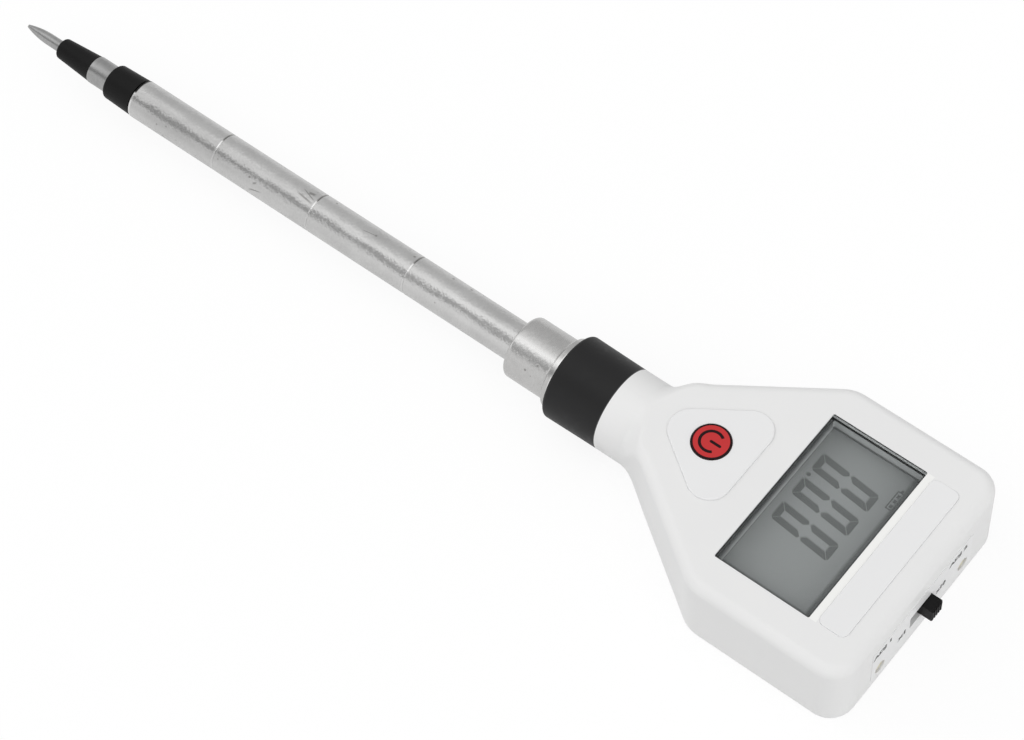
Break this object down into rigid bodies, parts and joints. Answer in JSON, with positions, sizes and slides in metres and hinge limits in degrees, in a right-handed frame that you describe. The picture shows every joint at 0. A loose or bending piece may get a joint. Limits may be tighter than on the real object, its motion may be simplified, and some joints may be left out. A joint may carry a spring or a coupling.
{
  "type": "soil conductivity meter",
  "caption": "Hand-held soil conductivity meter: flared white head with window, key and slide switch on a slim metal probe with a pointed tip and a ring electrode.",
  "frame": {"origin": "on the probe axis, where the bare tube leaves the ferrule's front face", "axes": "+X along the probe axis from the tip towards the head, +Z out of the display face, +Y to the side of the high trimmer"},
  "size_m": [0.2723, 0.0638, 0.0224],
  "materials": {
    "white_shell": "satin moulded",
    "panel_white": "smooth foil",
    "black_plastic": "fine matte",
    "dark_frame": "matte",
    "tube_alloy": "satin turned, lightly worn",
    "electrode_steel": "fine ground",
    "plain_steel": "plain plated",
    "plain_brass": "plain turned",
    "seal_rubber": "matte",
    "lead_jacket": "smooth",
    "key_red": "semi-gloss with a printed ring and power sign",
    "clear_window": "clear polished plastic",
    "display_cell": "grey reflective display",
    "board_green": "solder mask",
    "trim_cream": "plain",
    "trimmer_blue": "plain",
    "cell_jacket": "plain sleeve"
  },
  "bodies": {
    "meter": {"tip_electrode": "electrode_steel", "tip_insulator": "black_plastic", "ring_electrode": "electrode_steel", "ring_insulator": "black_plastic", "probe_tube": "tube_alloy", "probe_ferrule": "tube_alloy", "grip_collar": "black_plastic", "neck_seal": "seal_rubber", "probe_nut": "plain_brass", "tip_lead": "lead_jacket", "ring_lead": "lead_jacket", "front_shell": "white_shell", "rear_cover": "white_shell", "battery_cells": "cell_jacket", "contact_minus": "plain_steel", "contact_plus": "plain_steel", "contact_bridge": "plain_steel", "lcd_window": "clear_window", "lcd_frame": "dark_frame", "lcd_glass": "display_cell", "zebra_strips": "seal_rubber", "main_board": "board_green", "tact_switch": "dark_frame", "button_panel": "panel_white", "name_strip": "panel_white", "control_board": "board_green", "pin_header": "dark_frame", "range_switch": "plain_steel", "low_trimmer": "trimmer_blue", "high_trimmer": "trimmer_blue", "switch_label": "panel_white", "case_screws": "plain_steel", "board_screws": "plain_steel"},
    "key": {"power_button": "key_red", "tact_plunger": "dark_frame"},
    "knob": {"range_knob": "black_plastic"},
    "door": {"battery_door": "white_shell"},
    "low_screw": {"low_trim_screw": "trim_cream"},
    "high_screw": {"high_trim_screw": "trim_cream"}
  },
  "joints": [
    {"name": "key_press", "type": "slide", "parent": "meter", "child": "key", "axis": [0, 0, -1], "range_m": [0, 0.0004], "stiffness_N_per_m": 800},
    {"name": "range_slide", "type": "slide", "parent": "meter", "child": "knob", "axis": [0, 1, 0], "range_m": [-0.004, 0]},
    {"name": "door_hinge", "type": "hinge", "parent": "meter", "child": "door", "pos_m": [0.07207, 0, -0.01025], "axis": [0, 1, 0], "range_deg": [0, 85]},
    {"name": "low_trim_turn", "type": "hinge", "parent": "meter", "child": "low_screw", "pos_m": [0.1095, -0.016, -0.005], "axis": [1, 0, 0], "range_deg": [-135, 135]},
    {"name": "high_trim_turn", "type": "hinge", "parent": "meter", "child": "high_screw", "pos_m": [0.1095, 0.016, -0.005], "axis": [1, 0, 0], "range_deg": [-135, 135]}
  ]
}
